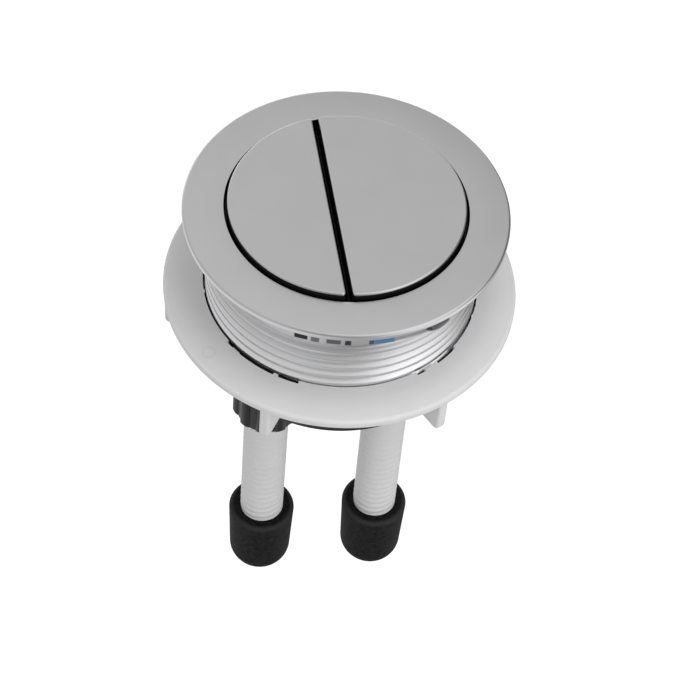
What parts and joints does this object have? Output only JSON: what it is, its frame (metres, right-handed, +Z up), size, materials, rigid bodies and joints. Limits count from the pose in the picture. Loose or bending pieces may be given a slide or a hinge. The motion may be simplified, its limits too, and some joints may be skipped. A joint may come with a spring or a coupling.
{
  "type": "push button cistern actuator",
  "caption": "Round dual flush push button for a cistern lid: plated bezel on a threaded neck, ring nut below, sprung half and full flush buttons that push adjustable rods with rubber tips.",
  "frame": {"origin": "on the neck's axis, in the plane of the bezel's underside, where it seats on the top of the cistern lid", "axes": "+Z up, out of the lid; +X from the half flush button to the full flush button; Y along the slot between them"},
  "size_m": [0.0818, 0.0818, 0.1414],
  "materials": {
    "satin_plate": "satin silver plating on a plastic moulding",
    "white_plastic": "white moulded plastic, low sheen",
    "black_plastic": "black moulded plastic, low sheen",
    "black_rubber": "matt black moulded rubber",
    "spring_wire": "drawn stainless spring wire"
  },
  "bodies": {
    "root": {"housing": "satin_plate", "carrier": "black_plastic", "half_flush_spring": "spring_wire", "full_flush_spring": "spring_wire"},
    "ring_nut": {"ring_nut": "white_plastic"},
    "half_button": {"half_flush_button": "satin_plate", "half_flush_plunger": "black_plastic"},
    "full_button": {"full_flush_button": "satin_plate", "full_flush_plunger": "black_plastic"},
    "half_rod": {"half_flush_rod": "white_plastic", "half_flush_tip": "black_rubber"},
    "full_rod": {"full_flush_rod": "white_plastic", "full_flush_tip": "black_rubber"},
    "half_lock_nut": {"half_flush_lock_nut": "black_plastic"},
    "full_lock_nut": {"full_flush_lock_nut": "black_plastic"}
  },
  "joints": [
    {"name": "half_press", "type": "slide", "parent": "root", "child": "half_button", "axis": [0, 0, 1], "range_m": [-0.008, 0], "stiffness_N_per_m": 750, "springref_m": 0.0053, "deforming": ["half_flush_spring"]},
    {"name": "full_press", "type": "slide", "parent": "root", "child": "full_button", "axis": [0, 0, 1], "range_m": [-0.008, 0], "stiffness_N_per_m": 750, "springref_m": 0.0053, "deforming": ["full_flush_spring"]},
    {"name": "nut_travel", "type": "slide", "parent": "root", "child": "ring_nut", "axis": [0, 0, 1], "range_m": [-0.004, 0.021]},
    {"name": "half_rod_adjust", "type": "slide", "parent": "half_button", "child": "half_rod", "axis": [0, 0, 1], "range_m": [-0.015, 0.015]},
    {"name": "full_rod_adjust", "type": "slide", "parent": "full_button", "child": "full_rod", "axis": [0, 0, 1], "range_m": [-0.0125, 0.0175]},
    {"name": "half_lock_nut_travel", "type": "slide", "parent": "half_button", "child": "half_lock_nut", "axis": [0, 0, 1], "range_m": [-0.02, 0]},
    {"name": "full_lock_nut_travel", "type": "slide", "parent": "full_button", "child": "full_lock_nut", "axis": [0, 0, 1], "range_m": [-0.02, 0]}
  ]
}
